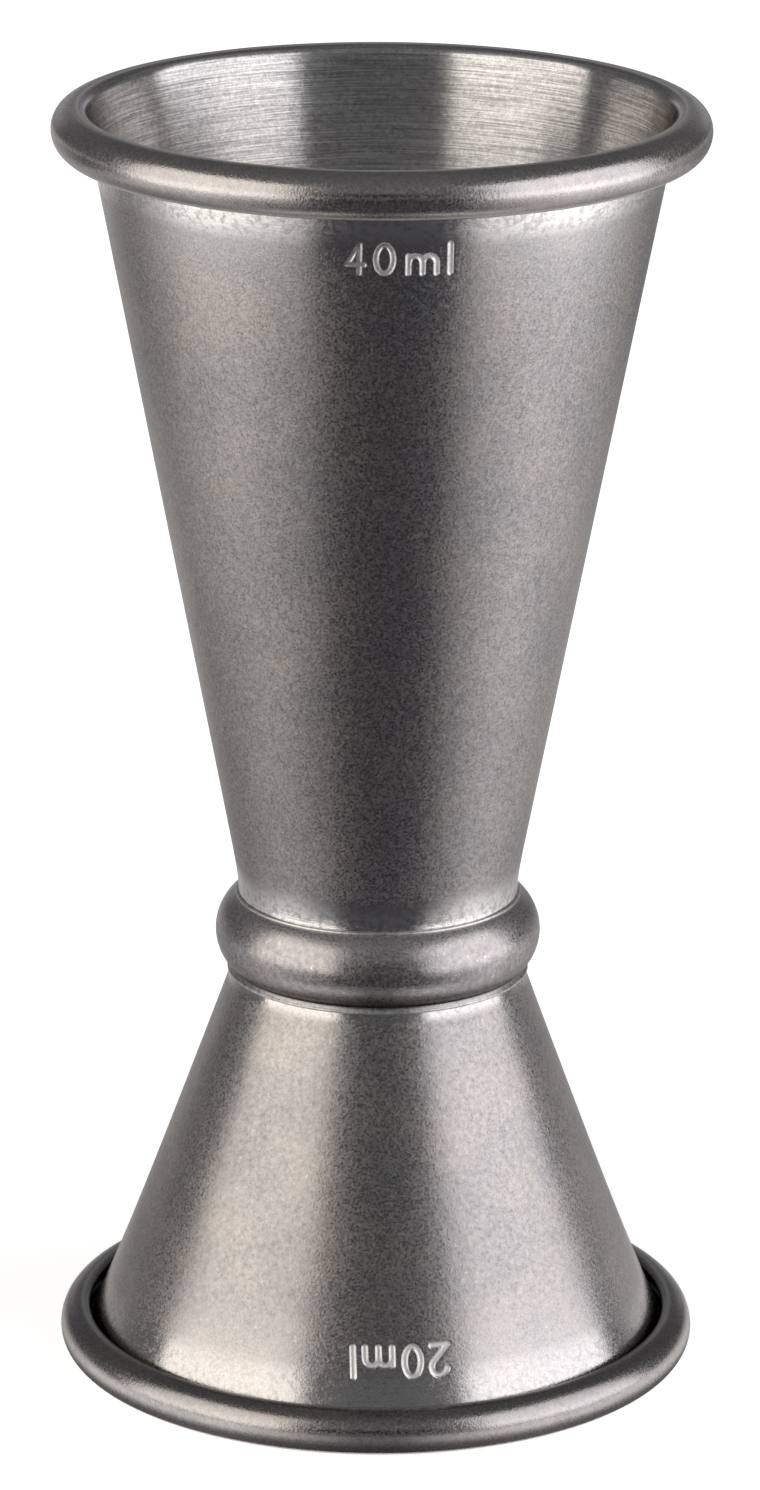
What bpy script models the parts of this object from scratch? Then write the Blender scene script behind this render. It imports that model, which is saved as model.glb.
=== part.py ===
"""Double-ended bar measure: two spun steel cups joined floor to floor, and a half-round band at the waist.

Sizes are in metres and +Z is up. The origin is the centre of the ring that the small cup's rim stands on.
"""

import math

import bmesh
import bpy
import numpy as np

# Overall sizes
HEIGHT = 0.0920                 # over both rims
RIM_DIAMETER = 0.0460           # over the curl, the same on both cups
SEAM_HEIGHT = 0.0317            # middle of the joint between the two floors

# Cups, both spun from one thickness of sheet
SHEET = 0.0007
UPPER_NECK_DIAMETER = 0.0186    # outside the cone, where it would meet the plane of its floor
LOWER_NECK_DIAMETER = 0.0193
FLOOR_CORNER_RADIUS = 0.0015    # outside, where the floor turns up into the cone

# Rims, rolled outwards into a hollow curl that is left open underneath
CURL_RADIUS = 0.0016            # outside
CURL_TUCK = math.radians(8.0)   # how far the free edge turns in past the underside of the curl
RIM_LAND = 0.0005               # width of the flat on the crest, which the measure stands on

# Waist collar, a half-round band formed from sheet
COLLAR_STAND = 0.0020           # how far it stands out beyond the wider neck
COLLAR_SECTION_RADIUS = 0.0034  # outside
COLLAR_SHEET = 0.0007

# Filler metal between the two floors
BRAZE_DIAMETER = 0.0120
BRAZE_THICKNESS = 0.0003

# Clearance between pieces that touch on the real object
FIT_GAP = 0.0003

# Finish of the round surfaces
SEGMENTS = 48                   # facets round the axis
ARC_FACET = math.radians(17.0)  # largest turn of one facet along a rolled section
BRAZE_FACET = math.radians(60.0)
SHARP_ANGLE = math.radians(35.0)
WELD_DISTANCE = 0.000001

# Metals: colour and roughness
CUP_STEEL = ((0.42, 0.41, 0.40), 0.38)
COLLAR_STEEL = ((0.38, 0.36, 0.36), 0.34)
BRAZE_SILVER = ((0.62, 0.58, 0.50), 0.45)

# Distance of each floor's outside face from the middle of the joint, and the depth of each cup
FLOOR_OFFSET = BRAZE_THICKNESS / 2 + FIT_GAP
UPPER_DEPTH = HEIGHT - SEAM_HEIGHT - FLOOR_OFFSET
LOWER_DEPTH = SEAM_HEIGHT - FLOOR_OFFSET


def arc(centre, radius, start, end, facet=ARC_FACET):
    """Points along an arc in the section plane, and the unit vectors that lead from its centre to them."""
    steps = math.ceil(abs(end - start) / facet)
    angles = np.linspace(start, end, steps + 1)
    outward = np.column_stack((np.cos(angles), np.sin(angles)))
    return np.asarray(centre) + radius * outward, outward


def sheet_outline(points, normals, thickness):
    """The loop round a sheet whose middle follows points: out on its normals' side, back on the other."""
    middle = np.concatenate(points)
    half = np.concatenate(normals) * thickness / 2
    return np.concatenate((middle + half, (middle - half)[::-1]))


def curl_centre(depth):
    """Centre of a curl whose crest is depth above the underside of the floor, and half its land's angle."""
    land_angle = math.asin(RIM_LAND / 2 / CURL_RADIUS)
    crest_rise = CURL_RADIUS * math.cos(land_angle)
    return np.array((RIM_DIAMETER / 2 - CURL_RADIUS, depth - crest_rise)), land_angle


def cone_slope(depth, neck_diameter):
    """Lean of the cone's wall from upright: a line from the neck, tangent to the hollow of the curl."""
    centre, _ = curl_centre(depth)
    reach_out = centre[0] - neck_diameter / 2
    reach_up = centre[1]
    hollow_radius = CURL_RADIUS - SHEET
    return math.atan2(reach_out, reach_up) - math.asin(hollow_radius / math.hypot(reach_out, reach_up))


def cup_outline(depth, neck_diameter):
    """Section of a cup that stands on its floor: floor, rounded corner, straight cone, and the open curl."""
    slope = cone_slope(depth, neck_diameter)
    half = SHEET / 2

    floor_end = neck_diameter / 2 - half * (1 - math.sin(slope)) / math.cos(slope)
    corner_radius = FLOOR_CORNER_RADIUS - half
    corner_setback = corner_radius * math.tan((math.pi / 2 - slope) / 2)
    corner_centre = (floor_end - corner_setback, half + corner_radius)
    corner, from_corner = arc(corner_centre, corner_radius, -math.pi / 2, -slope)

    centre, land_angle = curl_centre(depth)
    roll = CURL_RADIUS - half
    inner_roll, inner_out = arc(centre, roll, math.pi - slope, math.pi / 2 + land_angle)
    outer_roll, outer_out = arc(centre, roll, math.pi / 2 - land_angle, -math.pi / 2 - CURL_TUCK)

    floor_middle = np.array([(0.0, half)])
    floor_up = np.array([(0.0, 1.0)])
    points = (floor_middle, corner, inner_roll, outer_roll)
    normals = (floor_up, -from_corner, inner_out, outer_out)
    return sheet_outline(points, normals, SHEET)


def collar_edge(centre, radius, depth, neck_diameter):
    """Angle about centre at which a circle comes within a fit gap of the cone of a cup that leads up."""
    slope = cone_slope(depth, neck_diameter)
    along = np.array((math.sin(slope), math.cos(slope)))
    outward = np.array((math.cos(slope), -math.sin(slope)))
    neck = np.array((neck_diameter / 2, FLOOR_OFFSET))
    start = neck + FIT_GAP * outward - centre
    lead = start @ along
    travel = math.sqrt(lead ** 2 - start @ start + radius ** 2) - lead
    edge = start + travel * along
    return math.atan2(edge[1], edge[0])


def collar_outline():
    """Section of the band about the middle of the joint, with both its edges trimmed to lie on the cones."""
    collar_radius = max(UPPER_NECK_DIAMETER, LOWER_NECK_DIAMETER) / 2 + COLLAR_STAND
    centre = np.array((collar_radius - COLLAR_SECTION_RADIUS, 0.0))
    faces = []
    for radius in (COLLAR_SECTION_RADIUS, COLLAR_SECTION_RADIUS - COLLAR_SHEET):
        upper_edge = collar_edge(centre, radius, UPPER_DEPTH, UPPER_NECK_DIAMETER)
        lower_edge = -collar_edge(centre, radius, LOWER_DEPTH, LOWER_NECK_DIAMETER)
        face, _ = arc(centre, radius, upper_edge, lower_edge)
        faces.append(face)
    outer_face, inner_face = faces
    return np.concatenate((outer_face, inner_face[::-1]))


def braze_outline():
    """Section of the disc of filler about the middle of the joint, with the round edge of metal that ran."""
    edge_radius = BRAZE_THICKNESS / 2
    edge_centre = (BRAZE_DIAMETER / 2 - edge_radius, 0.0)
    edge, _ = arc(edge_centre, edge_radius, math.pi / 2, -math.pi / 2, BRAZE_FACET)
    return np.concatenate(([(0.0, edge_radius)], edge, [(0.0, -edge_radius)]))


def metal(name, finish):
    """A bare metal of one colour and roughness."""
    colour, roughness = finish
    material = bpy.data.materials.new(name)
    material.use_nodes = True
    shader = material.node_tree.nodes["Principled BSDF"]
    shader.inputs["Base Color"].default_value = (*colour, 1.0)
    shader.inputs["Roughness"].default_value = roughness
    shader.inputs["Metallic"].default_value = 1.0
    return material


def revolve(name, outline, finish, is_ring=False):
    """Turn a section about Z into a closed body. Unless it is a ring, it starts and ends on the axis."""
    body = bmesh.new()
    corners = [body.verts.new((radius, 0.0, height)) for radius, height in outline]
    sides = [body.edges.new(pair) for pair in zip(corners, corners[1:])]
    if is_ring:
        sides.append(body.edges.new((corners[-1], corners[0])))
    bmesh.ops.spin(body, geom=corners + sides, cent=(0.0, 0.0, 0.0), axis=(0.0, 0.0, 1.0),
                   angle=math.tau, steps=SEGMENTS, use_merge=True)
    bmesh.ops.remove_doubles(body, verts=body.verts, dist=WELD_DISTANCE)
    bmesh.ops.recalc_face_normals(body, faces=body.faces)

    mesh = bpy.data.meshes.new(name)
    body.to_mesh(mesh)
    body.free()
    mesh.shade_smooth()
    mesh.set_sharp_from_angle(angle=SHARP_ANGLE)
    mesh.materials.append(metal(name + "_metal", finish))
    turned = bpy.data.objects.new(name, mesh)
    bpy.context.collection.objects.link(turned)
    return turned


def build():
    """Make the four pieces and set them on one axis."""
    for old in list(bpy.data.objects):
        bpy.data.objects.remove(old, do_unlink=True)

    measure = bpy.data.objects.new("bar_measure", None)
    bpy.context.collection.objects.link(measure)

    upper_cup = revolve("upper_cup", cup_outline(UPPER_DEPTH, UPPER_NECK_DIAMETER), CUP_STEEL)
    upper_cup.location.z = SEAM_HEIGHT + FLOOR_OFFSET

    lower_cup = revolve("lower_cup", cup_outline(LOWER_DEPTH, LOWER_NECK_DIAMETER), CUP_STEEL)
    lower_cup.location.z = SEAM_HEIGHT - FLOOR_OFFSET
    lower_cup.rotation_euler.x = math.pi

    waist_collar = revolve("waist_collar", collar_outline(), COLLAR_STEEL, is_ring=True)
    waist_collar.location.z = SEAM_HEIGHT

    floor_braze = revolve("floor_braze", braze_outline(), BRAZE_SILVER)
    floor_braze.location.z = SEAM_HEIGHT

    for piece in (upper_cup, lower_cup, waist_collar, floor_braze):
        piece.parent = measure


build()
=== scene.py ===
"""Looks of a double-ended bar measure in aged steel. Sizes are in metres and +Z is up, as in its frame."""

import math
from typing import NamedTuple

import bpy
import numpy as np
from mathutils import Matrix, Vector


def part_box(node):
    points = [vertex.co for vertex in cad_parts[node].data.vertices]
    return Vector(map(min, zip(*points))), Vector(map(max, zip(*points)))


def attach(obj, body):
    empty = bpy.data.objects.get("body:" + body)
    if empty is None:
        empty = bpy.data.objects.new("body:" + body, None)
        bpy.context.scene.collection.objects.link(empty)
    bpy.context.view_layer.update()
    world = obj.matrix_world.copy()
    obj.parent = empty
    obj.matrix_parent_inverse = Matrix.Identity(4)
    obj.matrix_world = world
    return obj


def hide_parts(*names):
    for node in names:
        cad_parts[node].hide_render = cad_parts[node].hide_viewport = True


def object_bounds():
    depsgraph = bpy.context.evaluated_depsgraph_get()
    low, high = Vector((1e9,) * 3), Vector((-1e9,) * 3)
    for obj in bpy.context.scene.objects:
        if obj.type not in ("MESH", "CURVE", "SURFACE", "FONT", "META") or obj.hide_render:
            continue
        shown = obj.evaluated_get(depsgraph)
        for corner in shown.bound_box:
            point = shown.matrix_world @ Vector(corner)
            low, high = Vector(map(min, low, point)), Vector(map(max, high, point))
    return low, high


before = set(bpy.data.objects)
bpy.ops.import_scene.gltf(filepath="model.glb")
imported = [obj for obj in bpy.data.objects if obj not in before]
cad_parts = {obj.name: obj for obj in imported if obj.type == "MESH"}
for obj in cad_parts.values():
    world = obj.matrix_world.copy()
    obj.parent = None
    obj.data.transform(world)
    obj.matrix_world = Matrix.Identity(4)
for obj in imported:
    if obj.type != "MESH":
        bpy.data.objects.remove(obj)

cad_low, cad_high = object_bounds()
bpy.context.scene.view_settings.view_transform = "Standard"


# Upper cup
# The 40 ml end: a cone spun from a disc of stainless sheet, with its rim rolled outwards into an open curl.
# The outside was tumbled and darkened, the inside still has the lathe's lines, and the capacity is stamped
# under the rim. Its floor is brazed to the floor of the lower cup.

SHEET = 0.0007
FLOOR_CORNER_RADIUS = 0.0015
CURL_RADIUS = 0.0016
CURL_TUCK = math.radians(8.0)
CURL_SAG = 0.00015
# Painted shade on the curl's underside: full at the first angle, none at the second, at this share; the
# hollow takes it in full.
CURL_PAINTED_SHADE = (math.radians(-52.0), math.radians(-22.0), 0.50)
RIM_LAND = 0.0005
RIM_RECESS = 0.0023
RIM_RECESS_TAIL = 0.0044
RIM_FLARE_FADE = 0.0054
LIP_RADIUS = 0.00075
LIP_WEAR = 0.00016
SEAT_FADE = 0.00085
SEAT_REACH = 4 * SEAT_FADE
FRONT = -math.pi / 2

# The stamped mark
MARK_HEIGHT = 0.0026
MARK_STROKE = 0.00052
MARK_DEPTH = 0.00011
MARK_GROOVE = 1.5
MARK_FINE = 0.60 * MARK_HEIGHT
MARK_FIELD = 0.62 * MARK_HEIGHT
MARK_HALF_TURN = math.radians(12.0)
FIGURE_WIDTH = 0.00118
FOUR_STEM = 0.72
FOUR_BAR = 0.30
TWO_BOW = (math.radians(165.0), math.radians(-38.0))
LETTER_WIDTH = 0.00194
LETTER_SHARE = 0.61
BOW_POINTS = 12
NOUGHT_POINTS = 25
ARCH_POINTS = 9

# Finishes along the section, points along its stretches, and columns over the mark and over the rest
TUMBLED, BURNISHED, TURNED = 0, 1, 2
CORNER_POINTS = 8
WALL_POINTS = (5, 34, 14, 58, 24)
HOLLOW_MOUTH_POINTS = 8
HOLLOW_POINTS = 22
FREE_EDGE_POINTS = 11
CURL_POINTS = 52
LIP_POINTS = 18
LIP_BURNISHED_POINTS = 8
INSIDE_POINTS = 40
MARK_COLUMNS = 140
PLAIN_COLUMNS = 156


class CupSizes(NamedTuple):
    """What the two cups do not share. The curl is worn bare at an angle about its centre, over a width, and
    the wall flares so far towards it. The ring under the rim, which tumbling did not reach, is so strong, and
    so is its tail. The seat is where the collar's edge lies on the cone: its height above the floor, how far
    the cone swells there, and the width and strength of the same ring there. The mark's signs stand so far
    apart. It is so far below the crest, turned so far from the front, and its first figure is so faint."""
    neck_radius: float
    wear_angle: float
    wear_width: float
    rim_flare: float
    rim_share: float
    rim_tail: float
    seat_height: float
    seat_swell: float
    seat_recess: float
    seat_share: float
    figure: str
    mark_gaps: tuple
    mark_drop: float
    mark_turn: float
    mark_faint: float


UPPER_CUP = CupSizes(neck_radius=0.0093, wear_angle=math.radians(-63.0), wear_width=0.00024,
                     rim_flare=0.0, rim_share=1.0, rim_tail=0.38,
                     seat_height=0.00258, seat_swell=0.00027, seat_recess=0.0020, seat_share=1.0,
                     figure="four", mark_gaps=(0.00080, 0.00104, 0.00095),
                     mark_drop=0.00643, mark_turn=math.radians(3.5), mark_faint=0.40)


def arc(centre, radii, start, end, count):
    """Points of an ellipse about centre, at equal steps of its angle from start to end."""
    angles = np.linspace(start, end, count)
    return np.asarray(centre) + np.column_stack((radii[0] * np.cos(angles), radii[1] * np.sin(angles)))


def cup_section(cup, depth, rim_radius, mark_height):
    """Section of a cup that stands on its floor, as radius and height: out under the floor, up the outside,
    through the hollow of the curl, round the curl to the mouth, and down the inside to the floor again.
    The wall is a cone that thins towards the mouth, where a small round leads into the curl. It swells by a
    decaying exponential towards the edge of the collar and flares by another towards the rim. The lower half
    of the curl is drawn out to an ellipse. The second array is the finish along the section. The masks are of
    the corners that tumbling did not reach, the curl's worn edges, which all fade as bell curves, and the
    painted shade on the curl's underside and in its hollow."""
    land_angle = math.asin(RIM_LAND / 2 / CURL_RADIUS)
    curl = np.array((rim_radius - CURL_RADIUS, depth - CURL_RADIUS * math.cos(land_angle)))
    hollow = CURL_RADIUS - SHEET
    reach = curl - (cup.neck_radius, 0.0)
    slope = math.atan2(reach[0], reach[1]) - math.asin(hollow / math.hypot(reach[0], reach[1]))

    corner_setback = FLOOR_CORNER_RADIUS * math.tan((math.pi / 2 - slope) / 2)
    corner = (cup.neck_radius - corner_setback, FLOOR_CORNER_RADIUS)
    corner_out = arc(corner, (FLOOR_CORNER_RADIUS,) * 2, -math.pi / 2, -slope, CORNER_POINTS)
    corner_in = arc(corner, (FLOOR_CORNER_RADIUS - SHEET,) * 2, -slope, -math.pi / 2, CORNER_POINTS)
    lip = (rim_radius - CURL_RADIUS - RIM_LAND / 2, depth - LIP_RADIUS)
    lip_in = arc(lip, (LIP_RADIUS,) * 2, math.pi / 2, math.pi - slope, LIP_POINTS)

    stops = (corner_out[-1, 1], cup.seat_height - SEAT_FADE / 2, cup.seat_height + SEAT_REACH,
             mark_height - MARK_FINE, mark_height + MARK_FINE, curl[1])
    stretches = [np.linspace(low, high, count, endpoint=False)
                 for low, high, count in zip(stops, stops[1:], WALL_POINTS)]
    rise = np.concatenate(stretches)[1:]
    swell = cup.seat_swell * np.exp(-np.abs(rise - cup.seat_height) / SEAT_FADE)
    flare = cup.rim_flare * np.exp((rise - curl[1]) / RIM_FLARE_FADE)
    wall_out = np.column_stack((cup.neck_radius + math.tan(slope) * rise + swell + flare, rise))
    wall_in = np.linspace(lip_in[-1], corner_in[0], INSIDE_POINTS)[1:-1]

    hollow_out = curl[0] - cup.neck_radius - math.tan(slope) * curl[1] - cup.rim_flare
    free_angle = -math.pi / 2 - CURL_TUCK
    toward_edge = np.array((math.cos(free_angle), math.sin(free_angle)))
    past_edge = np.array((math.sin(free_angle), -math.cos(free_angle)))
    turn = np.linspace(0.0, math.pi, FREE_EDGE_POINTS)[1:-1, None]
    free_edge = curl + (CURL_RADIUS - SHEET / 2) * toward_edge
    free_edge = free_edge + SHEET / 2 * (past_edge * np.sin(turn) - toward_edge * np.cos(turn))
    rows = (
        (corner_out, TUMBLED),
        (wall_out, TUMBLED),
        (arc(curl, (hollow_out, hollow), math.pi, math.pi / 2, HOLLOW_MOUTH_POINTS)[:-1], BURNISHED),
        (arc(curl, (hollow,) * 2, math.pi / 2, free_angle, HOLLOW_POINTS), BURNISHED),
        (free_edge, BURNISHED),
        (arc(curl, (CURL_RADIUS,) * 2, free_angle, math.pi / 2 - land_angle, CURL_POINTS), BURNISHED),
        (lip_in[:LIP_BURNISHED_POINTS], BURNISHED),
        (lip_in[LIP_BURNISHED_POINTS:], TURNED),
        (wall_in, TURNED),
        (corner_in, TURNED),
    )
    section = np.concatenate([points for points, _ in rows])
    finish = np.concatenate([np.full(len(points), kind) for points, kind in rows])
    sags = (finish == BURNISHED) & (section[:, 1] < curl[1])
    section[sags, 1] = curl[1] + (section[sags, 1] - curl[1]) * (1 + CURL_SAG / CURL_RADIUS)

    below_rim = np.clip(curl[1] - CURL_RADIUS - CURL_SAG - section[:, 1], 0.0, None)
    above_seat = np.abs(section[:, 1] - cup.seat_height)
    recess = np.maximum(cup.rim_share * np.exp(-(below_rim / RIM_RECESS) ** 4),
                        cup.rim_tail * np.exp(-(below_rim / RIM_RECESS_TAIL) ** 2))
    recess = np.maximum(recess, cup.seat_share * np.exp(-(above_seat / cup.seat_recess) ** 4))
    recess = np.where(finish == TUMBLED, recess, 0.0)

    from_curl = section - curl
    round_curl = np.arctan2(from_curl[:, 1], from_curl[:, 0])
    worn_place = curl + CURL_RADIUS * np.array((math.cos(cup.wear_angle), math.sin(cup.wear_angle)))
    worn = np.exp(-(np.linalg.norm(section - worn_place, axis=1) / cup.wear_width) ** 2)
    worn = worn + np.exp(-(np.linalg.norm(section - lip_in[0], axis=1) / LIP_WEAR) ** 2)
    # Painted shade under the curl and in its hollow, where the light does not reach.
    shade_full, shade_none, shade_share = CURL_PAINTED_SHADE
    painted_shade = shade_share * np.clip((shade_none - round_curl) / (shade_none - shade_full), 0.0, 1.0)
    in_hollow = np.linalg.norm(from_curl, axis=1) < CURL_RADIUS - SHEET / 2
    painted_shade = np.where(finish == BURNISHED, np.maximum(painted_shade, in_hollow), 0.0)
    return section, finish, {"recess": recess, "worn": worn, "painted_shade": painted_shade}, slope


def joined_strokes(*lines):
    """Straight strokes between the successive points of each line, as rows of two ends."""
    return np.concatenate([np.stack((np.asarray(line)[:-1], np.asarray(line)[1:]), axis=1) for line in lines])


def capacity_mark(figure, gaps):
    """Strokes of a figure, a nought and the letters m and l side by side, centred on the origin.
    Stems are straight, rounds are parts of ellipses."""
    tall = MARK_HEIGHT - MARK_STROKE
    low = LETTER_SHARE * tall
    half_figure = FIGURE_WIDTH / 2
    stem = FOUR_STEM * FIGURE_WIDTH
    bar = FOUR_BAR * tall
    four = joined_strokes(((stem, 0.0), (stem, tall), (0.0, bar), (FIGURE_WIDTH, bar)))
    bow = arc((half_figure, tall - half_figure), (half_figure,) * 2, *TWO_BOW, BOW_POINTS)
    two = joined_strokes(np.concatenate((bow, ((0.0, 0.0), (FIGURE_WIDTH, 0.0)))))
    half = (half_figure, tall / 2)
    nought = joined_strokes(arc(half, half, 0.0, math.tau, NOUGHT_POINTS))
    shoulder = LETTER_WIDTH / 4
    first_arch = arc((shoulder, low - shoulder), (shoulder,) * 2, math.pi, 0.0, ARCH_POINTS)
    second_arch = first_arch + (2 * shoulder, 0.0)
    letter_m = joined_strokes(((0.0, 0.0), (0.0, low)),
                              np.concatenate((first_arch, ((2 * shoulder, 0.0),))),
                              np.concatenate((second_arch, ((4 * shoulder, 0.0),))))
    letter_l = joined_strokes(((0.0, 0.0), (0.0, tall)))
    signs = ({"four": four, "two": two}[figure], nought, letter_m, letter_l)
    widths = (FIGURE_WIDTH, FIGURE_WIDTH, LETTER_WIDTH)
    starts = np.concatenate(([0.0], np.cumsum(np.add(widths, gaps))))
    placed = np.concatenate([sign + (start, 0.0) for sign, start in zip(signs, starts)])
    return placed - (starts[-1] / 2, tall / 2)


def stroke_distance(along, up, strokes):
    """Distance from each point of a grid to the nearest of the straight strokes."""
    points = np.stack((along, up), axis=-1)[..., None, :]
    start = strokes[:, 0]
    lead = strokes[:, 1] - start
    share = np.clip(((points - start) * lead).sum(-1) / (lead * lead).sum(-1), 0.0, 1.0)
    return np.linalg.norm(points - start - share[..., None] * lead, axis=-1).min(-1)


def stamped(cup, section, finish, slope, azimuths, mark_height, mark_azimuth, upright):
    """The section at every azimuth, with the strokes of its mark pressed into the outside of the cone.
    A stroke is a groove that follows the square of a cosine across it and is cut off flat at its floor, and
    the mark is fainter towards its first figure. Returns radius, height and the share of the depth."""
    mark = capacity_mark(cup.figure, cup.mark_gaps)
    radius = np.repeat(section[:, :1], len(azimuths), axis=1)
    height = np.repeat(section[:, 1:], len(azimuths), axis=1)
    rows = np.flatnonzero((finish == TUMBLED) & (np.abs(section[:, 1] - mark_height) < MARK_FIELD))
    along = section[rows, :1] * (azimuths - mark_azimuth) * upright
    up = np.repeat((section[rows, 1:] - mark_height) / math.cos(slope), len(azimuths), axis=1)
    across = np.clip(stroke_distance(along, up, mark) / (MARK_STROKE / 2), 0.0, 1.0)
    reach = np.clip(0.5 + along / np.ptp(mark[..., 0]), 0.0, 1.0)
    groove = np.clip(MARK_GROOVE * np.cos(across * math.pi / 2) ** 2, 0.0, 1.0)
    press = groove * (cup.mark_faint + (1.0 - cup.mark_faint) * reach)
    radius[rows] -= MARK_DEPTH * math.cos(slope) * press
    height[rows] += MARK_DEPTH * math.sin(slope) * press
    stamp = np.zeros_like(radius)
    stamp[rows] = press
    return radius, height, stamp


def azimuths_round(mark_azimuth):
    """Azimuths once round the axis, closer together over the width of a mark."""
    mark_start = mark_azimuth - MARK_HALF_TURN
    mark_end = mark_azimuth + MARK_HALF_TURN
    near = np.linspace(mark_start, mark_end, MARK_COLUMNS, endpoint=False)
    far = np.linspace(mark_end, mark_start + math.tau, PLAIN_COLUMNS, endpoint=False)
    return np.concatenate((near, far))


def turned_piece(name, radius, height, azimuths, ends="axis"):
    """A surface of revolution: ring i, column j lies at radius and height i, j and at azimuth j. Rings are
    joined by quads. A section's ends are closed on the axis by fans, joined to each other, or open."""
    rows, columns = radius.shape
    points = np.stack((radius * np.cos(azimuths), radius * np.sin(azimuths), height), axis=-1).reshape(-1, 3)
    index = np.arange(rows * columns).reshape(rows, columns)
    if ends == "joined":
        index = np.concatenate((index, index[:1]))
    beside = np.roll(index, -1, axis=1)
    quads = np.stack((index[:-1], beside[:-1], beside[1:], index[1:]), axis=-1).reshape(-1, 4)
    corners = quads.ravel()
    starts = np.arange(len(quads)) * 4
    if ends == "axis":
        poles = np.array(((0.0, 0.0, height[0, 0]), (0.0, 0.0, height[-1, 0])))
        first, last = len(points), len(points) + 1
        points = np.concatenate((points, poles))
        first_fan = np.column_stack((np.full(columns, first), beside[0], index[0]))
        last_fan = np.column_stack((np.full(columns, last), index[-1], beside[-1]))
        fans = np.concatenate((first_fan, last_fan))
        starts = np.concatenate((starts, len(corners) + np.arange(len(fans)) * 3))
        corners = np.concatenate((corners, fans.ravel()))

    mesh = bpy.data.meshes.new(name)
    mesh.vertices.add(len(points))
    mesh.vertices.foreach_set("co", points.ravel())
    mesh.loops.add(len(corners))
    mesh.loops.foreach_set("vertex_index", corners)
    mesh.polygons.add(len(starts))
    mesh.polygons.foreach_set("loop_start", starts)
    mesh.update(calc_edges=True)
    mesh.validate()
    mesh.shade_smooth()
    piece = bpy.data.objects.new(name, mesh)
    bpy.context.scene.collection.objects.link(piece)
    return piece


def round_axis(section, azimuths):
    """The radius and the height of a plain section, the same at every azimuth."""
    columns = len(azimuths)
    return np.repeat(section[:, :1], columns, axis=1), np.repeat(section[:, 1:], columns, axis=1)


def set_mask(piece, name, values):
    """A value at each point of the rings, kept as an attribute. Points on the axis get 0."""
    mesh = piece.data
    padded = np.zeros(len(mesh.vertices), np.float32)
    padded[:values.size] = values.ravel()
    mesh.attributes.new(name, "FLOAT", "POINT").data.foreach_set("value", padded)


def set_finishes(piece, row_slots, columns):
    """The material slot of each ring of quads, and of the fans that close the two ends."""
    slots = np.concatenate((np.repeat(row_slots[:-1], columns), np.full(columns, row_slots[0]),
                            np.full(columns, row_slots[-1])))
    piece.data.polygons.foreach_set("material_index", slots.astype(np.int32))


def add_node(tree, kind, sockets=(), **options):
    """A node of that kind with its options set. Each input takes a value or another node's output."""
    made = tree.nodes.new(kind)
    for option, value in options.items():
        setattr(made, option, value)
    for socket, value in dict(sockets).items():
        if isinstance(value, bpy.types.NodeSocket):
            tree.links.new(value, made.inputs[socket])
        else:
            made.inputs[socket].default_value = value
    return made


def new_group(name, inputs, outputs):
    """A shader group with named value inputs and outputs. Returns the group and its two end nodes."""
    group = bpy.data.node_groups.new(name, "ShaderNodeTree")
    for socket, value in inputs.items():
        made = group.interface.new_socket(socket, in_out="INPUT", socket_type="NodeSocketFloat")
        made.default_value = value
    for socket in outputs:
        group.interface.new_socket(socket, in_out="OUTPUT", socket_type="NodeSocketFloat")
    return group, group.nodes.new("NodeGroupInput"), group.nodes.new("NodeGroupOutput")


def math_node(tree, operation, first, second):
    """The result of one operation on two values or sockets."""
    return add_node(tree, "ShaderNodeMath", {0: first, 1: second}, operation=operation).outputs[0]


def spread(tree, value, low, high, to_low, to_high):
    """A value carried from one range to another and held within it."""
    carried = add_node(tree, "ShaderNodeMapRange", {"Value": value, "From Min": low, "From Max": high,
                                                    "To Min": to_low, "To Max": to_high}, clamp=True)
    return carried.outputs["Result"]


PITS = (0.34, 0.24, 0.0, 1.0)
SPECKS = (0.66, 0.76, 0.0, 1.0)


def tumbled_grain():
    """Fine grain and soft clouds of a tumbled and darkened metal: two noises of unlike size in the piece's
    own space, a third that is far larger, for its stains and the drift of its tint, and the lows and highs of
    a fourth, for scattered pits and bright specks."""
    group, given, result = new_group("tumbled_grain",
                                     {"Grain": 5800.0, "Cloud": 2400.0, "Drift": 170.0, "Pit": 2900.0},
                                     ("Grain", "Cloud", "Drift", "Pits", "Specks"))
    place = add_node(group, "ShaderNodeTexCoord").outputs["Object"]
    noises = {}
    for size, detail in (("Grain", 2.0), ("Cloud", 2.0), ("Drift", 2.0), ("Pit", 1.0)):
        noise = add_node(group, "ShaderNodeTexNoise",
                         {"Vector": place, "Scale": given.outputs[size], "Detail": detail, "Roughness": 0.6})
        noises[size] = noise.outputs["Fac"]
    for size in ("Grain", "Cloud", "Drift"):
        group.links.new(noises[size], result.inputs[size])
    for spots, span in (("Pits", PITS), ("Specks", SPECKS)):
        group.links.new(spread(group, noises["Pit"], *span), result.inputs[spots])
    return group


def lathe_lines():
    """Lines that the lathe left round the axis: noise that is drawn out across the axis and fine along it."""
    group, given, result = new_group("lathe_lines", {"Pitch": 9000.0, "Run": 170.0}, ("Lines",))
    place = add_node(group, "ShaderNodeTexCoord").outputs["Object"]
    stretch = add_node(group, "ShaderNodeCombineXYZ",
                       {"X": given.outputs["Run"], "Y": given.outputs["Run"], "Z": given.outputs["Pitch"]})
    drawn = add_node(group, "ShaderNodeVectorMath", {0: place, 1: stretch.outputs[0]}, operation="MULTIPLY")
    noise = add_node(group, "ShaderNodeTexNoise",
                     {"Vector": drawn.outputs[0], "Scale": 1.0, "Detail": 3.0, "Roughness": 0.65})
    group.links.new(noise.outputs["Fac"], result.inputs["Lines"])
    return group


TUMBLED_GRAIN = tumbled_grain()
LATHE_LINES = lathe_lines()


def colour_mix(tree, share, first, second):
    """A mix of two colours, each a value or a socket."""
    made = tree.nodes.new("ShaderNodeMix")
    made.data_type = "RGBA"
    for socket, value in ((made.inputs[0], share), (made.inputs[6], first), (made.inputs[7], second)):
        if isinstance(value, bpy.types.NodeSocket):
            tree.links.new(value, socket)
        else:
            socket.default_value = value
    return made.outputs[2]


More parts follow.
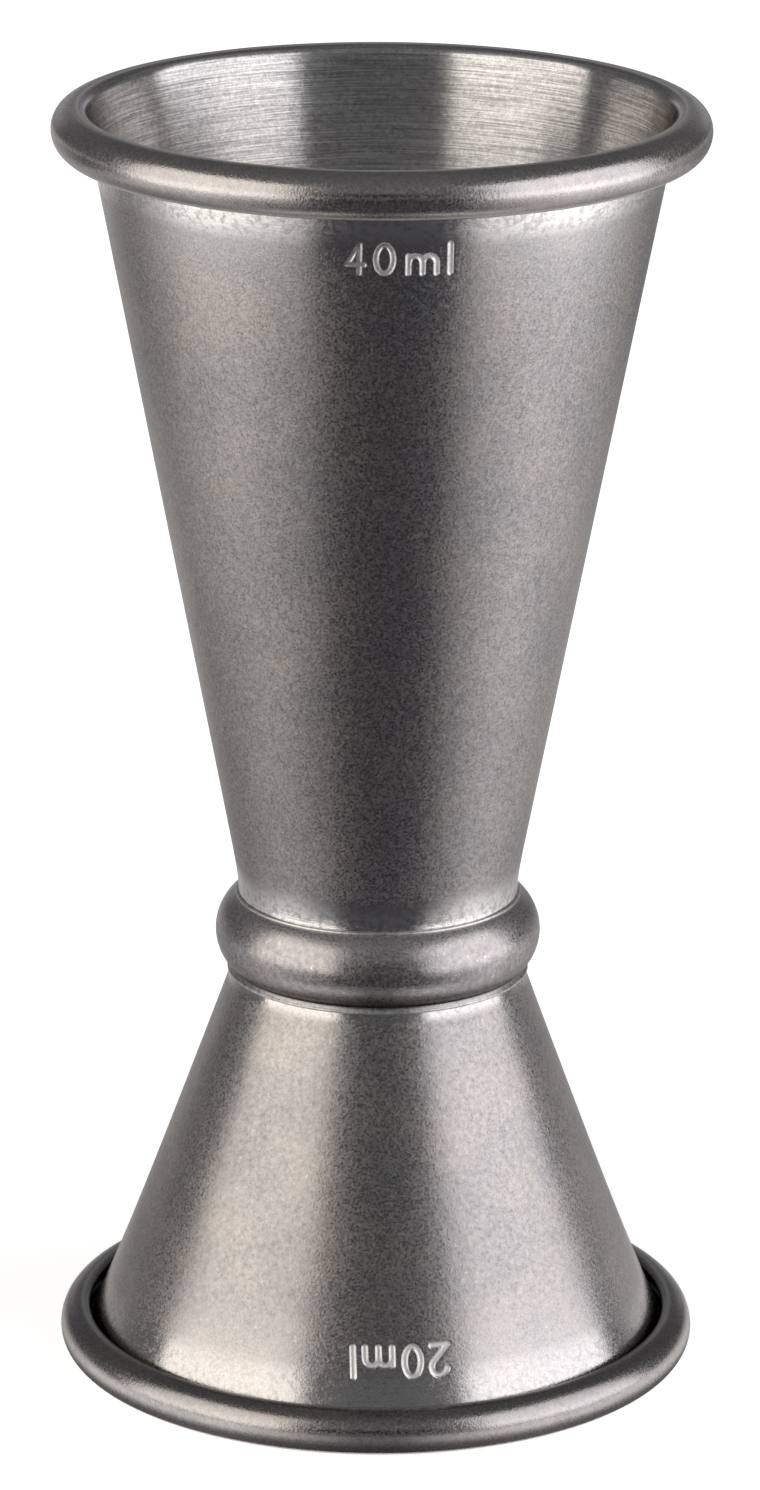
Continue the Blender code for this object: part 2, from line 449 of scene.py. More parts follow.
def laid_over(tree, under, mask, coat):
    """A colour that covers another where the mask is 1, by the share that the coat gives with its colour."""
    share, colour = coat
    return colour_mix(tree, math_node(tree, "MULTIPLY", mask, share), under, colour)


def new_metal(name, edge_tint):
    """A bare metal to be finished: its material, its node tree and its shader."""
    material = bpy.data.materials.new(name)
    material.use_nodes = True
    tree = material.node_tree
    shader = tree.nodes["Principled BSDF"]
    shader.inputs["Metallic"].default_value = 1.0
    shader.inputs["Specular Tint"].default_value = (*edge_tint, 1.0)
    return material, tree, shader


def set_bump(tree, shader, relief, depth):
    """The relief of a metal, as a bump that is so deep."""
    bump = add_node(tree, "ShaderNodeBump", {"Height": relief, "Strength": 1.0, "Distance": depth})
    tree.links.new(bump.outputs["Normal"], shader.inputs["Normal"])


def masks_of(tree, *names):
    """The masks that a piece keeps as attributes."""
    return [add_node(tree, "ShaderNodeAttribute", attribute_name=name).outputs["Fac"] for name in names]


# Spans of the noises, and the steel outside: colours, coats by share and colour, and what the masks do
NOISE = (0.30, 0.70)
DRIFT = (0.35, 0.65)
STEEL_EDGE = (0.80, 0.79, 0.78)
CUP_WARM = (0.580, 0.530, 0.492, 1.0)
CUP_COOL = (0.538, 0.512, 0.518, 1.0)
CUP_DARK = (0.190, 0.180, 0.179, 1.0)
CUP_FINE = (*NOISE, -0.30, 0.30)
CUP_SOFT = (*NOISE, -0.17, 0.17)
CUP_STAIN = (*DRIFT, 0.40, 0.53)
CUP_PITS = (0.28, (0.100, 0.095, 0.095, 1.0))
CUP_SPECKS = (0.30, (0.760, 0.730, 0.700, 1.0))
CUP_RUBBED = (0.30, (0.640, 0.592, 0.578, 1.0))
# Painted shade for the curl's underside and hollow: its share and its dark colour.
CUP_PAINTED_SHADE = (0.88, (0.060, 0.054, 0.051, 1.0))
CUP_BARE = (0.88, (0.920, 0.893, 0.868, 1.0))
CUP_STAMP = (0.860, 0.850, 0.835, 1.0)
CUP_STAMP_COVER = (0.0, 0.6, 0.0, 1.0)
CUP_MATT = (*NOISE, 0.42, 0.20)
CUP_CURL_GLOSS = 0.07
CUP_STAMP_MATT = 0.36
CUP_WORN_MATT = 0.35
CUP_RELIEF = 0.0000140
RECESS_BREAK = (0.36, 0.54, 0.40, 1.0)
RECESS_MATT = (0.0, 0.6, 1.0, 0.22)
RECESS_GRAIN = (0.0, 0.6, 1.0, 0.08)
RECESS_LINES = (0.0, 1.0, 0.0, 0.75)
RECESS_PITCH = 26000.0
RECESS_RUN = 300.0


def tumbled_steel(name):
    """The outside of a cup: grey steel with a grain, clouds, pits, stains and a drifting tint, a burnished
    curl with painted shade under it and in its hollow, and bare metal in the stamped strokes and in the
    lathe-lined corners."""
    material, tree, shader = new_metal(name, STEEL_EDGE)
    grain = add_node(tree, "ShaderNodeGroup", node_tree=TUMBLED_GRAIN).outputs
    lines = add_node(tree, "ShaderNodeGroup", {"Pitch": RECESS_PITCH, "Run": RECESS_RUN},
                     node_tree=LATHE_LINES)
    curl, stamp, ring, worn, painted_shade = masks_of(tree, "curl", "stamp", "recess", "worn", "painted_shade")
    recess = math_node(tree, "MULTIPLY", ring, spread(tree, grain["Cloud"], *RECESS_BREAK))

    clean = colour_mix(tree, spread(tree, grain["Drift"], *DRIFT, 0.0, 1.0), CUP_WARM, CUP_COOL)
    fine = spread(tree, grain["Grain"], *CUP_FINE)
    soft = spread(tree, grain["Cloud"], *CUP_SOFT)
    stain = spread(tree, grain["Drift"], *CUP_STAIN)
    patina = math_node(tree, "ADD", math_node(tree, "ADD", fine, soft), stain)
    aged = colour_mix(tree, patina, clean, CUP_DARK)
    pitted = laid_over(tree, aged, grain["Pits"], CUP_PITS)
    specked = laid_over(tree, pitted, grain["Specks"], CUP_SPECKS)
    rubbed = laid_over(tree, specked, curl, CUP_RUBBED)
    # Painted shade darkens the curl's underside and hollow.
    shaded = laid_over(tree, rubbed, painted_shade, CUP_PAINTED_SHADE)
    lined = laid_over(tree, shaded, math_node(tree, "MAXIMUM", recess, worn), CUP_BARE)
    pressed = colour_mix(tree, spread(tree, stamp, *CUP_STAMP_COVER), lined, CUP_STAMP)
    tree.links.new(pressed, shader.inputs["Base Color"])

    matt = spread(tree, grain["Grain"], *CUP_MATT)
    matt = math_node(tree, "SUBTRACT", matt, math_node(tree, "MULTIPLY", curl, CUP_CURL_GLOSS))
    matt = math_node(tree, "MULTIPLY", matt, spread(tree, recess, *RECESS_MATT))
    marked = math_node(tree, "ADD", math_node(tree, "MULTIPLY", stamp, CUP_STAMP_MATT),
                       math_node(tree, "MULTIPLY", worn, CUP_WORN_MATT))
    tree.links.new(math_node(tree, "ADD", matt, marked), shader.inputs["Roughness"])

    grained = math_node(tree, "MULTIPLY", grain["Grain"], spread(tree, recess, *RECESS_GRAIN))
    scored = math_node(tree, "MULTIPLY", lines.outputs["Lines"], spread(tree, recess, *RECESS_LINES))
    set_bump(tree, shader, math_node(tree, "ADD", grained, scored), CUP_RELIEF)
    return material


# The steel inside, from the floor of a line to its crest
INSIDE_SPREAD = 0.92
INSIDE_ACROSS = 0.25
INSIDE_DARK = (0.380, 0.364, 0.355, 1.0)
INSIDE_BRIGHT = (0.820, 0.799, 0.781, 1.0)
INSIDE_LINES = (0.32, 0.68, 0.0, 1.0)
INSIDE_FINE = (*NOISE, -0.25, 0.25)
INSIDE_SOFT = (*NOISE, -0.20, 0.20)
INSIDE_MATT = (*NOISE, 0.26, 0.17)
INSIDE_RELIEF = 0.0000120


def turned_steel(name):
    """The inside of a cup: brighter steel with the lathe's lines, which spread light up and down the wall
    and leave it sharp round the axis."""
    material, tree, shader = new_metal(name, STEEL_EDGE)
    shader.inputs["Anisotropic"].default_value = INSIDE_SPREAD
    shader.inputs["Anisotropic Rotation"].default_value = INSIDE_ACROSS
    tangent = add_node(tree, "ShaderNodeTangent", direction_type="RADIAL", axis="Z")
    tree.links.new(tangent.outputs["Tangent"], shader.inputs["Tangent"])
    grain = add_node(tree, "ShaderNodeGroup", node_tree=TUMBLED_GRAIN).outputs
    lines = add_node(tree, "ShaderNodeGroup", node_tree=LATHE_LINES).outputs["Lines"]

    scored = spread(tree, lines, *INSIDE_LINES)
    fine = spread(tree, grain["Grain"], *INSIDE_FINE)
    soft = spread(tree, grain["Cloud"], *INSIDE_SOFT)
    worn = math_node(tree, "ADD", math_node(tree, "ADD", scored, soft), fine)
    tree.links.new(colour_mix(tree, worn, INSIDE_DARK, INSIDE_BRIGHT), shader.inputs["Base Color"])
    tree.links.new(spread(tree, lines, *INSIDE_MATT), shader.inputs["Roughness"])
    set_bump(tree, shader, lines, INSIDE_RELIEF)
    return material


CUP_FINISHES = (tumbled_steel("tumbled_steel"), turned_steel("turned_steel"))


def spun_cup(name, cup, node, floor_height, mouth):
    """A cup on its floor, with its mouth up or down, dressed over its solid."""
    low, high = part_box(node)
    depth = high.z - low.z
    mark_height = depth - cup.mark_drop
    mark_azimuth = FRONT + cup.mark_turn
    section, finish, masks, slope = cup_section(cup, depth, high.x, mark_height)
    azimuths = azimuths_round(mark_azimuth)
    radius, height, stamp = stamped(cup, section, finish, slope, azimuths, mark_height, mark_azimuth, mouth)
    masks["curl"] = finish == BURNISHED
    order = slice(None, None, mouth)
    piece = turned_piece(name, radius[order], floor_height + mouth * height[order], azimuths)
    set_mask(piece, "stamp", stamp[order])
    for mask, along in masks.items():
        set_mask(piece, mask, np.repeat(along[order, None], len(azimuths), axis=1))
    for metal in CUP_FINISHES:
        piece.data.materials.append(metal)
    set_finishes(piece, (finish == TURNED)[order].astype(int), len(azimuths))
    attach(piece, "root")
    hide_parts(node)


spun_cup("upper_cup_steel", UPPER_CUP, "upper_cup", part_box("upper_cup")[0].z, 1)


# Lower cup
# The 20 ml end, spun and rolled as the upper one is, and turned over so that its rim is the foot. The curl's
# free edge faces up here and stands clear of the cone. The mark reads upright with the measure turned over.

LOWER_CUP = CupSizes(neck_radius=0.00965, wear_angle=math.radians(-91.0), wear_width=0.00018,
                     rim_flare=0.00055, rim_share=0.42, rim_tail=0.18,
                     seat_height=0.00236, seat_swell=0.00004, seat_recess=0.0007, seat_share=0.5,
                     figure="two", mark_gaps=(0.00078, 0.00086, 0.00086),
                     mark_drop=0.0059, mark_turn=math.radians(5.4), mark_faint=0.95)

spun_cup("lower_cup_steel", LOWER_CUP, "lower_cup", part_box("lower_cup")[1].z, -1)


# Waist collar
# A band of the same sheet, formed half round and closed over the joint between the two floors. Its upper edge
# is a plain lip on the cone and its lower edge a drawn foot. It was burnished after the cups were tumbled.

COLLAR_SECTION_RADIUS = 0.0034
COLLAR_SHEET = 0.0003
COLLAR_RISE = 0.00012
COLLAR_UPPER_EDGE = math.radians(54.0)
COLLAR_LOWER_EDGE = math.radians(-48.5)
COLLAR_LIP_RADIUS = 0.00016
COLLAR_LIP_PLACE = (0.00184, 0.00280)
COLLAR_LIP_TURN = (math.radians(-50.0), math.radians(190.0))
COLLAR_FOOT_RADIUS = 0.00013
COLLAR_FOOT_PLACE = (0.00244, -0.00284)
COLLAR_FOOT_TURN = (math.radians(-200.0), math.radians(40.0))
COLLAR_EDGE_WEAR = 0.00016
COLLAR_SHOULDER = (math.radians(16.0), math.radians(48.0), 0.28)
# Painted shade on the belly's underside: full below the first angle, none above the second.
COLLAR_UNDERSIDE = (math.radians(-36.0), math.radians(-14.0))
COLLAR_BELLY_POINTS = 96
COLLAR_LINING_POINTS = 24
COLLAR_EDGE_POINTS = 20
COLLAR_COLUMNS = 288

COLLAR_WARM = (0.560, 0.510, 0.482, 1.0)
COLLAR_COOL = (0.520, 0.494, 0.508, 1.0)
COLLAR_DARK = (0.215, 0.198, 0.194, 1.0)
COLLAR_FINE = (*NOISE, -0.22, 0.22)
COLLAR_SOFT = (*NOISE, -0.28, 0.28)
COLLAR_PATINA = 0.36
COLLAR_PITS = (0.35, (0.120, 0.110, 0.110, 1.0))
COLLAR_SPECKS = (0.65, (0.740, 0.710, 0.690, 1.0))
# Painted shade on the underside: its share and its dark colour.
COLLAR_PAINTED_SHADE = (0.72, (0.080, 0.072, 0.068, 1.0))
COLLAR_BARE = (0.80, (0.800, 0.780, 0.760, 1.0))
COLLAR_WEAR_BREAK = (0.38, 0.58, 0.55, 1.0)
COLLAR_MATT = (*NOISE, 0.42, 0.18)
COLLAR_WORN_MATT = 0.10
COLLAR_LINES = 0.4
COLLAR_RELIEF = 0.0000110


def collar_section(belly_radius, middle_height):
    """Section of the band: an arc round the belly, whose centre lies a hair above the joint, a round lip
    above it and a round foot below, both circles whose places are given from that centre, and the inner arc
    back to the foot. The masks are of the worn lip and foot, which fade on the belly as a bell curve, with
    the shoulder that is made a little lighter and rougher, and of the painted shade on the underside."""
    centre = np.array((belly_radius - COLLAR_SECTION_RADIUS, middle_height + COLLAR_RISE))
    lining_radius = COLLAR_SECTION_RADIUS - COLLAR_SHEET
    outer = arc(centre, (COLLAR_SECTION_RADIUS,) * 2, COLLAR_LOWER_EDGE, COLLAR_UPPER_EDGE,
                COLLAR_BELLY_POINTS)
    lip = arc(centre + COLLAR_LIP_PLACE, (COLLAR_LIP_RADIUS,) * 2, *COLLAR_LIP_TURN, COLLAR_EDGE_POINTS)
    inner = arc(centre, (lining_radius,) * 2, COLLAR_UPPER_EDGE, COLLAR_LOWER_EDGE, COLLAR_LINING_POINTS)
    foot = arc(centre + COLLAR_FOOT_PLACE, (COLLAR_FOOT_RADIUS,) * 2, *COLLAR_FOOT_TURN, COLLAR_EDGE_POINTS)
    section = np.concatenate((outer, lip, inner, foot))
    worn = np.zeros(len(section))
    for place, radius in ((COLLAR_LIP_PLACE, COLLAR_LIP_RADIUS), (COLLAR_FOOT_PLACE, COLLAR_FOOT_RADIUS)):
        beyond = np.clip(np.linalg.norm(section - centre - place, axis=1) - radius, 0.0, None)
        worn = worn + np.exp(-(beyond / COLLAR_EDGE_WEAR) ** 2)
    round_belly = np.arctan2(section[:, 1] - centre[1], section[:, 0] - centre[0])
    shoulder_none, shoulder_full, shoulder_share = COLLAR_SHOULDER
    shoulder = np.interp(round_belly, (shoulder_none, shoulder_full), (0.0, shoulder_share))
    # Painted shade on the underside of the belly.
    painted_shade = np.interp(round_belly, COLLAR_UNDERSIDE, (1.0, 0.0))
    return section, {"worn": np.maximum(worn, shoulder), "painted_shade": painted_shade}


def burnished_steel(name):
    """The collar: darker steel, a little brown, with a faint grain, painted shade underneath, and bare along
    its worn edges, where the wear comes and goes."""
    material, tree, shader = new_metal(name, STEEL_EDGE)
    edges, painted_shade = masks_of(tree, "worn", "painted_shade")
    grain = add_node(tree, "ShaderNodeGroup", node_tree=TUMBLED_GRAIN).outputs
    lines = add_node(tree, "ShaderNodeGroup", node_tree=LATHE_LINES).outputs["Lines"]
    worn = math_node(tree, "MULTIPLY", edges, spread(tree, grain["Cloud"], *COLLAR_WEAR_BREAK))

    clean = colour_mix(tree, spread(tree, grain["Drift"], *DRIFT, 0.0, 1.0), COLLAR_WARM, COLLAR_COOL)
    fine = spread(tree, grain["Grain"], *COLLAR_FINE)
    soft = spread(tree, grain["Cloud"], *COLLAR_SOFT)
    patina = math_node(tree, "ADD", math_node(tree, "ADD", fine, soft), COLLAR_PATINA)
    aged = colour_mix(tree, patina, clean, COLLAR_DARK)
    pitted = laid_over(tree, aged, grain["Pits"], COLLAR_PITS)
    specked = laid_over(tree, pitted, grain["Specks"], COLLAR_SPECKS)
    # Painted shade darkens the underside of the belly.
    shaded = laid_over(tree, specked, painted_shade, COLLAR_PAINTED_SHADE)
    tree.links.new(laid_over(tree, shaded, worn, COLLAR_BARE), shader.inputs["Base Color"])

    matt = spread(tree, grain["Grain"], *COLLAR_MATT)
    worn_matt = math_node(tree, "MULTIPLY", worn, COLLAR_WORN_MATT)
    tree.links.new(math_node(tree, "ADD", matt, worn_matt), shader.inputs["Roughness"])
    scored = math_node(tree, "MULTIPLY", lines, COLLAR_LINES)
    set_bump(tree, shader, math_node(tree, "ADD", grain["Grain"], scored), COLLAR_RELIEF)
    return material


braze_low, braze_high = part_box("floor_braze")
seam_height = (braze_low.z + braze_high.z) / 2
band, band_masks = collar_section(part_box("waist_collar")[1].x, seam_height)
band_azimuths = np.linspace(0.0, math.tau, COLLAR_COLUMNS, endpoint=False)
collar = turned_piece("waist_collar_steel", *round_axis(band, band_azimuths), band_azimuths, ends="joined")
for band_mask, band_values in band_masks.items():
    set_mask(collar, band_mask, np.repeat(band_values[:, None], len(band_azimuths), axis=1))
collar.data.materials.append(burnished_steel("burnished_steel"))
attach(collar, "root")
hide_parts("waist_collar")


# Floor braze
# The disc of silver filler that ran between the two floors and holds the cups together. The collar hides it,
# so its solid stays as it is and only takes the look of a filler that has flowed and set.

BRAZE_EDGE = (0.90, 0.88, 0.84)
BRAZE_CLEAN = (0.640, 0.600, 0.510, 1.0)
BRAZE_CLOUDED = (0.500, 0.470, 0.410, 1.0)
BRAZE_MATT = (*NOISE, 0.38, 0.55)


def flowed_silver(name):
    """Pale filler with a yellow cast, clouded where the flux lay."""
    material, tree, shader = new_metal(name, BRAZE_EDGE)
    grain = add_node(tree, "ShaderNodeGroup", node_tree=TUMBLED_GRAIN).outputs
    cloud = spread(tree, grain["Cloud"], *NOISE, 0.0, 1.0)
    tree.links.new(colour_mix(tree, cloud, BRAZE_CLEAN, BRAZE_CLOUDED), shader.inputs["Base Color"])
    tree.links.new(spread(tree, grain["Grain"], *BRAZE_MATT), shader.inputs["Roughness"])
    return material


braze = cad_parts["floor_braze"]
braze.data.materials.clear()
braze.data.materials.append(flowed_silver("flowed_silver"))


# Studio floor
# A wide sheet of white paper under and round the measure. It glows a little to the camera and in the metal,
# as paper that is lit from behind does, so that it reads as white and still takes the shadow.

FLOOR_SIDE = 5.0
FLOOR_LINES = 9
PAPER_WHITE = (0.93, 0.93, 0.93, 1.0)
PAPER_GLOW = (0.05, 0.16, 0.68, 1.0)
METAL_GLOW = (0.05, 0.45, 0.65, 0.85)
METAL_GLOW_END = (0.76, 0.84, 1.0, 0.20)


def bare_tree(name):
    """A material that has no shader yet: the material, its node tree and the place on the piece."""
    material = bpy.data.materials.new(name)
    material.use_nodes = True
    material.node_tree.nodes.clear()
    place = add_node(material.node_tree, "ShaderNodeTexCoord").outputs["Object"]
    return material, material.node_tree, place


def set_surface(tree, surface):
    """The shader that a material shows."""
    result = add_node(tree, "ShaderNodeOutputMaterial")
    tree.links.new(surface.outputs[0], result.inputs["Surface"])


def studio_paper(name):
    """Matt white paper with a glow that grows away from the measure. In the metal it grows towards the back
    and ends where the sheet leaves the light."""
    material, tree, place = bare_tree(name)
    behind = add_node(tree, "ShaderNodeSeparateXYZ", {0: place}).outputs["Y"]
    away = add_node(tree, "ShaderNodeVectorMath", {0: place}, operation="LENGTH").outputs["Value"]
    path = add_node(tree, "ShaderNodeLightPath").outputs
    reflected = math_node(tree, "MAXIMUM", path["Is Glossy Ray"], path["Is Transmission Ray"])
    in_metal = math_node(tree, "MULTIPLY", spread(tree, behind, *METAL_GLOW),
                         spread(tree, away, *METAL_GLOW_END))
    seen_in_metal = math_node(tree, "MULTIPLY", reflected, in_metal)
    seen = math_node(tree, "MULTIPLY", path["Is Camera Ray"], spread(tree, away, *PAPER_GLOW))
    paper = add_node(tree, "ShaderNodeBsdfDiffuse", {"Color": PAPER_WHITE})
    glow = add_node(tree, "ShaderNodeEmission", {"Strength": math_node(tree, "ADD", seen_in_metal, seen)})
    set_surface(tree, add_node(tree, "ShaderNodeAddShader", {0: paper.outputs[0], 1: glow.outputs[0]}))
    return material


def flat_sheet(name, side, height):
    """A square sheet about the axis: a grid of two parameters at one height."""
    steps = np.linspace(-side / 2, side / 2, FLOOR_LINES)
    x, y = np.meshgrid(steps, steps)
    points = np.stack((x, y, np.full_like(x, height)), axis=-1).reshape(-1, 3)
    index = np.arange(x.size).reshape(x.shape)
    quads = np.stack((index[:-1, :-1], index[:-1, 1:], index[1:, 1:], index[1:, :-1]), axis=-1)
    mesh = bpy.data.meshes.new(name)
    mesh.from_pydata(points.tolist(), [], quads.reshape(-1, 4).tolist())
    sheet = bpy.data.objects.new(name, mesh)
    bpy.context.scene.collection.objects.link(sheet)
    return sheet


floor = flat_sheet("studio_floor", FLOOR_SIDE, cad_low.z)
floor.data.materials.append(studio_paper("studio_paper"))


# Dark card
# A black card with feathered edges, laid on the paper round the foot of the measure to give its metal a dark
# core. It is wide towards the camera, and kept out of sight, so that only the metal sees it. It is painted
# shade in the reflections: the unlit front of the room, and shadow round and under the foot.

CARD_HOLE = 0.0224
CARD_RADIUS = 0.70
CARD_LIFT = 0.0002
CARD_COLUMNS = 96
CARD_BLACK = (0.132, 0.132, 0.150, 1.0)
CARD_FRONT_LEFT = (math.radians(-31.0), math.radians(-27.0), 0.0, 1.0)
CARD_FRONT_RIGHT = (math.radians(33.0), math.radians(39.0), 1.0, 0.0)
CARD_FRONT_NEAR = (math.radians(4.0), math.radians(32.0), 0.85, 0.0)
CARD_NEAR = (0.034, 0.048, 1.0, 0.0)
CARD_SOFT_LEFT = (math.radians(-78.0), math.radians(-33.0), 0.0, 1.0)
CARD_SOFT_RIGHT = (math.radians(40.0), math.radians(82.0), 1.0, 0.0)
CARD_SOFT = (0.06, 0.15, 0.92, 0.38)
CARD_BACK_LEFT = (math.radians(-122.0), math.radians(-70.0), 0.46, 0.0)
CARD_BACK_EDGE = (math.radians(-152.0), math.radians(-122.0), 0.14, 0.46)
CARD_BACK_RIGHT = (math.radians(80.0), math.radians(140.0), 0.0, 0.34)
CARD_BACK_FAR = (0.17, 0.26, 1.0, 2.0)
CARD_SIDES = (math.radians(-30.0), math.radians(30.0), 0.40, 0.18)
CARD_SIDES_FAR = (0.115, 0.15, 1.0, 0.45)
CARD_FOOT = (0.034, 0.048, 0.0, 1.0)
# Painted contact shadow under the foot's curl, seen only in the metal.
CARD_CONTACT_SHADOW = (0.0232, 0.0252, 0.85, 0.0)


def feathered_card(name):
    """Black paint whose cover depends on the place: full within a wedge towards the camera, which is soft at
    the foot, part cover that fades to both sides of the wedge and away from the measure, and a little behind,
    on the left and, as a painted contact shadow, where the foot touches the paper. What each leaves bare is
    multiplied. The card is painted shade that only the metal's reflections show."""
    material, tree, place = bare_tree(name)
    parts = add_node(tree, "ShaderNodeSeparateXYZ", {0: place}).outputs
    bearing = math_node(tree, "ARCTAN2", parts["X"], math_node(tree, "MULTIPLY", parts["Y"], -1.0))
    distance = add_node(tree, "ShaderNodeVectorMath", {0: place}, operation="LENGTH").outputs["Value"]
    near = spread(tree, distance, *CARD_NEAR)
    past_foot = spread(tree, distance, *CARD_FOOT)

    front = math_node(tree, "MULTIPLY", spread(tree, bearing, *CARD_FRONT_LEFT),
                      spread(tree, bearing, *CARD_FRONT_RIGHT))
    far_front = math_node(tree, "MULTIPLY", front, math_node(tree, "SUBTRACT", 1.0, near))
    aside = math_node(tree, "ABSOLUTE", bearing, 0.0)
    near_front = math_node(tree, "MULTIPLY", near, spread(tree, aside, *CARD_FRONT_NEAR))
    beside = math_node(tree, "MULTIPLY", spread(tree, bearing, *CARD_SOFT_LEFT),
                       spread(tree, bearing, *CARD_SOFT_RIGHT))
    beside = math_node(tree, "MULTIPLY", beside, spread(tree, distance, *CARD_SOFT))
    sides = math_node(tree, "MULTIPLY", spread(tree, bearing, *CARD_SIDES),
                      spread(tree, distance, *CARD_SIDES_FAR))
    back_left = math_node(tree, "MINIMUM", spread(tree, bearing, *CARD_BACK_LEFT),
                          spread(tree, bearing, *CARD_BACK_EDGE))
    back = math_node(tree, "ADD", back_left, spread(tree, bearing, *CARD_BACK_RIGHT))
    covers = (
        math_node(tree, "ADD", near_front, far_front),
        math_node(tree, "MULTIPLY", beside, past_foot),
        math_node(tree, "MULTIPLY", sides, past_foot),
        math_node(tree, "MULTIPLY", back, spread(tree, distance, *CARD_BACK_FAR)),
        # The painted contact shadow where the foot meets the paper.
        spread(tree, distance, *CARD_CONTACT_SHADOW),
    )
    bare = 1.0
    for cover in covers:
        bare = math_node(tree, "MULTIPLY", bare, math_node(tree, "SUBTRACT", 1.0, cover))
    paint = add_node(tree, "ShaderNodeBsdfDiffuse", {"Color": CARD_BLACK})
    clear = add_node(tree, "ShaderNodeBsdfTransparent")
    mixed = add_node(tree, "ShaderNodeMixShader", {0: bare, 1: paint.outputs[0], 2: clear.outputs[0]})
    set_surface(tree, mixed)
    return material


def seen_in_metal_only(prop):
    """A prop of the studio that neither the camera nor the paper sees, and that casts no shadow."""
    prop.visible_camera = False
    prop.visible_diffuse = False
    prop.visible_shadow = False


card_height = cad_low.z + CARD_LIFT
card_section = np.array(((CARD_HOLE, card_height), (CARD_RADIUS, card_height)))
card_azimuths = np.linspace(0.0, math.tau, CARD_COLUMNS, endpoint=False)
card = turned_piece("dark_card", *round_axis(card_section, card_azimuths), card_azimuths, ends="open")
card.data.materials.append(feathered_card("feathered_card"))
seen_in_metal_only(card)


# Flag
# A black board that stands upright behind the camera, where the studio is unlit. Only the metal sees it: it
# is painted shade in the reflections, which keeps the middle of the inside dark.

FLAG_DISTANCE = 0.62
FLAG_HALF_WIDTH = 0.25
FLAG_LOW = 0.06
FLAG_HIGH = 0.21
FLAG_BLACK = (0.03, 0.03, 0.03, 1.0)
FLAG_MATT = 0.9


def black_board(name):
    """Matt black paint."""
    material = bpy.data.materials.new(name)
    material.use_nodes = True
    shader = material.node_tree.nodes["Principled BSDF"]
    shader.inputs["Base Color"].default_value = FLAG_BLACK
    shader.inputs["Roughness"].default_value = FLAG_MATT
    shader.inputs["Specular IOR Level"].default_value = 0.0
    return material


board = bpy.data.meshes.new("flag")
board.from_pydata([(-FLAG_HALF_WIDTH, -FLAG_DISTANCE, FLAG_LOW),
                   (FLAG_HALF_WIDTH, -FLAG_DISTANCE, FLAG_LOW),
                   (FLAG_HALF_WIDTH, -FLAG_DISTANCE, FLAG_HIGH),
                   (-FLAG_HALF_WIDTH, -FLAG_DISTANCE, FLAG_HIGH)], [], [(3, 2, 1, 0)])
flag = bpy.data.objects.new("flag", board)
bpy.context.scene.collection.objects.link(flag)
flag.data.materials.append(black_board("black_board"))
seen_in_metal_only(flag)


# Studio light
# A tall softbox on each side, a little in front of the measure, with a low strip lamp before its foot. The
# left pair is slightly warm. The room is dim, more so behind the measure, but for a low white wall there.

SOFTBOX_DISTANCE = 0.22
SOFTBOX_HEIGHT = 0.28
STRIP_DISTANCE = 0.215
STRIP_HEIGHT = 0.07
LEFT_BEARING = math.radians(-61.5)
LEFT_WIDTH = 0.272
LEFT_RADIANCE = 1.44
LEFT_STRIP = 0.08
RIGHT_BEARING = math.radians(70.4)
RIGHT_WIDTH = 0.295
RIGHT_RADIANCE = 1.55
RIGHT_STRIP = 0.10
WARM_WHITE = (1.0, 0.952, 0.890)
COOL_WHITE = (0.970, 0.964, 1.0)
ROOM_COLOUR = (0.945, 0.960, 1.0, 1.0)
ROOM_RADIANCE = (-0.5, 0.5, 0.190, 0.145)
WALL_WIDTH = (0.87, 0.94, 0.0, 0.44)
WALL_HEIGHT = (0.13, 0.28, 1.0, 0.0)


def upright_lamp(name, bearing, distance, width, height, radiance, colour):
    """An upright rectangle of even light that faces the axis, with its lower edge on the floor.
    Bearing is from the camera's side of the measure, positive to the right."""
    lamp = bpy.data.lights.new(name, "AREA")
    lamp.shape = "RECTANGLE"
    lamp.size = width
    lamp.size_y = height
    lamp.energy = radiance * math.pi * width * height
    lamp.color = colour
    box = bpy.data.objects.new(name, lamp)
    away = Vector((math.sin(bearing), -math.cos(bearing), 0.0))
    box.location = away * distance + Vector((0.0, 0.0, height / 2))
    box.rotation_euler = away.to_track_quat("Z", "Y").to_euler()
    box.visible_camera = False
    bpy.context.scene.collection.objects.link(box)


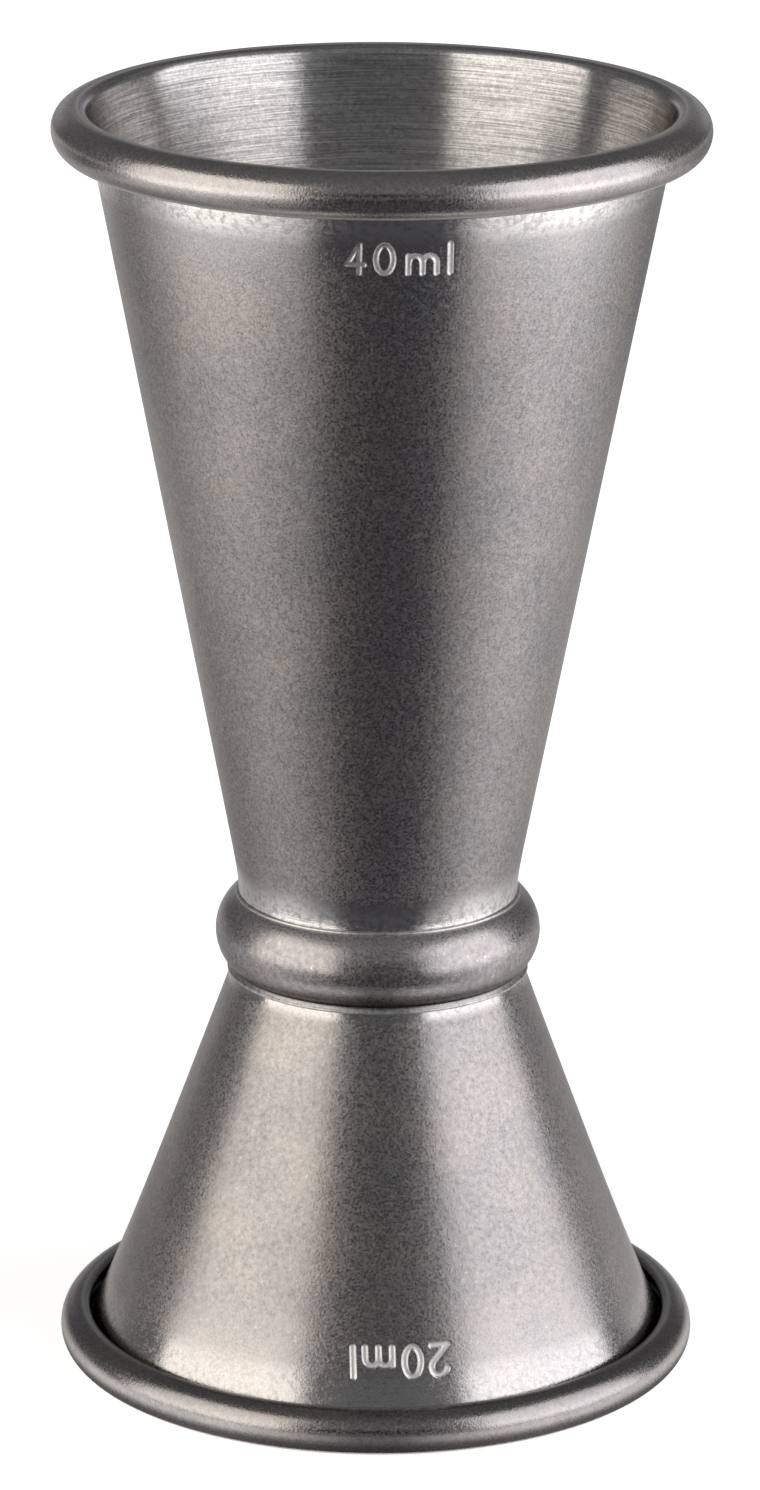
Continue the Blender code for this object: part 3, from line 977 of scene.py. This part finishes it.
upright_lamp("softbox_left", LEFT_BEARING, SOFTBOX_DISTANCE, LEFT_WIDTH, SOFTBOX_HEIGHT, LEFT_RADIANCE,
             WARM_WHITE)
upright_lamp("softbox_right", RIGHT_BEARING, SOFTBOX_DISTANCE, RIGHT_WIDTH, SOFTBOX_HEIGHT, RIGHT_RADIANCE,
             COOL_WHITE)
upright_lamp("strip_left", LEFT_BEARING, STRIP_DISTANCE, LEFT_WIDTH, STRIP_HEIGHT, LEFT_STRIP, WARM_WHITE)
upright_lamp("strip_right", RIGHT_BEARING, STRIP_DISTANCE, RIGHT_WIDTH, STRIP_HEIGHT, RIGHT_STRIP, COOL_WHITE)

room = bpy.data.worlds.new("studio_room")
room.use_nodes = True
room_tree = room.node_tree
backdrop = room_tree.nodes["Background"]
toward = add_node(room_tree, "ShaderNodeTexCoord").outputs["Generated"]
room_parts = add_node(room_tree, "ShaderNodeSeparateXYZ", {0: toward}).outputs
room_dim = spread(room_tree, room_parts["Y"], *ROOM_RADIANCE)
room_wall = math_node(room_tree, "MULTIPLY", spread(room_tree, room_parts["Y"], *WALL_WIDTH),
                      spread(room_tree, room_parts["Z"], *WALL_HEIGHT))
room_tree.links.new(math_node(room_tree, "ADD", room_dim, room_wall), backdrop.inputs["Strength"])
backdrop.inputs["Color"].default_value = ROOM_COLOUR
bpy.context.scene.world = room


# Camera
# It stands half a metre in front of the measure and looks down on it through a long lens, turned by a hair.

CAMERA_PLACE = Vector((0.00009, -0.4760, 0.1931))
CAMERA_AIM = Vector((0.00009, 0.0, 0.04547))
CAMERA_LENS = 168.8
CAMERA_SENSOR = 36.0
CAMERA_REACH = (0.01, 10.0)
CAMERA_ROLL = math.radians(0.3)

lens = bpy.data.cameras.new("camera")
lens.lens = CAMERA_LENS
lens.sensor_width = CAMERA_SENSOR
lens.clip_start, lens.clip_end = CAMERA_REACH
camera = bpy.data.objects.new("camera", lens)
facing = (CAMERA_AIM - CAMERA_PLACE).to_track_quat("-Z", "Y").to_matrix().to_4x4()
camera.matrix_world = Matrix.Translation(CAMERA_PLACE) @ facing @ Matrix.Rotation(CAMERA_ROLL, 4, "Z")
bpy.context.scene.collection.objects.link(camera)
bpy.context.scene.camera = camera
